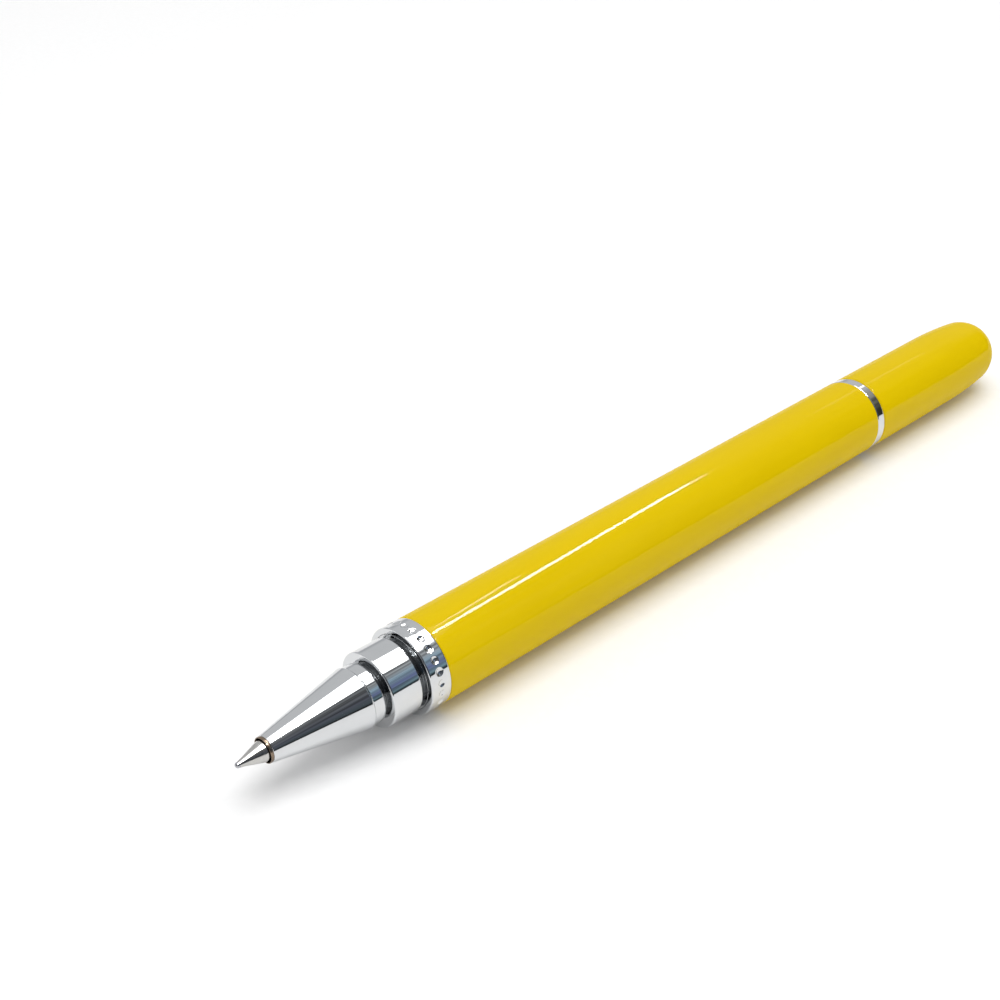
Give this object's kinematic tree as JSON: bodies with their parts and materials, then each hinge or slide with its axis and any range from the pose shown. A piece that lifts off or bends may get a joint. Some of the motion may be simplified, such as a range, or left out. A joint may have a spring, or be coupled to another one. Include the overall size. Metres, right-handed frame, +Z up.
{
  "type": "push-button ballpoint pen",
  "caption": "Slim lacquered metal ballpoint pen with a push button, its point out and its round-ended cap posted on the tail.",
  "frame": {"origin": "on the table below the middle of the pen, which lies along X", "axes": "+X towards the tail and the posted cap, -X towards the writing point, +Z up from the table"},
  "size_m": [0.144, 0.011, 0.011],
  "materials": {
    "lacquer": "gloss yellow lacquer over brass",
    "chrome": "bright chrome plate on brass",
    "brass": "turned",
    "steel": "turned or drawn steel",
    "black_plastic": "moulded, satin",
    "white_plastic": "moulded, satin",
    "rubber": "matte",
    "ink": "wet paste"
  },
  "bodies": {
    "barrel": {"barrel_tube": "lacquer", "front_ring": "chrome", "front_bushing": "brass", "refill_guide": "white_plastic", "cam_sleeve": "black_plastic", "rear_ring": "chrome", "rear_band": "chrome"},
    "nose": {"nose_band": "chrome", "nose_cone": "chrome", "point_bush": "brass", "nose_seal_ring": "rubber"},
    "refill": {"writing_point": "steel", "writing_ball": "steel", "point_holder": "white_plastic", "spring_collar": "brass", "refill_tube": "brass", "ink_column": "ink", "refill_plug": "white_plastic", "return_spring": "steel"},
    "rotor": {"cam_rotor": "white_plastic"},
    "button": {"plunger": "black_plastic", "button_stem": "chrome", "button_knob": "chrome"},
    "cap": {"cap_shell": "lacquer", "cap_liner": "black_plastic", "clutch_ring": "steel", "inner_cup": "white_plastic", "cup_seal": "rubber", "cap_plug": "white_plastic"}
  },
  "joints": [
    {"name": "button_click", "type": "slide", "parent": "barrel", "child": "button", "axis": [1, 0, 0], "range_m": [-0.0012, 0.0045]},
    {"name": "refill_slide", "type": "slide", "parent": "barrel", "child": "refill", "axis": [1, 0, 0], "range_m": [-0.0012, 0.0045], "deforming": ["return_spring"]},
    {"name": "rotor_turn", "type": "hinge", "parent": "refill", "child": "rotor", "pos_m": [0.0203, 0, 0.0055], "axis": [1, 0, 0], "range_deg": [-12.1, 45.1]},
    {"name": "nose_unscrew", "type": "slide", "parent": "barrel", "child": "nose", "axis": [-1, 0, 0], "range_m": [0, 0.04]},
    {"name": "cap_pull", "type": "slide", "parent": "barrel", "child": "cap", "axis": [1, 0, 0], "range_m": [0, 0.03]}
  ],
  "couplings": [
    {"joint": "refill_slide", "follows": "button_click", "ratio": 1},
    {"joint": "rotor_turn", "follows": "button_click", "rad_per_m": 174.53}
  ]
}
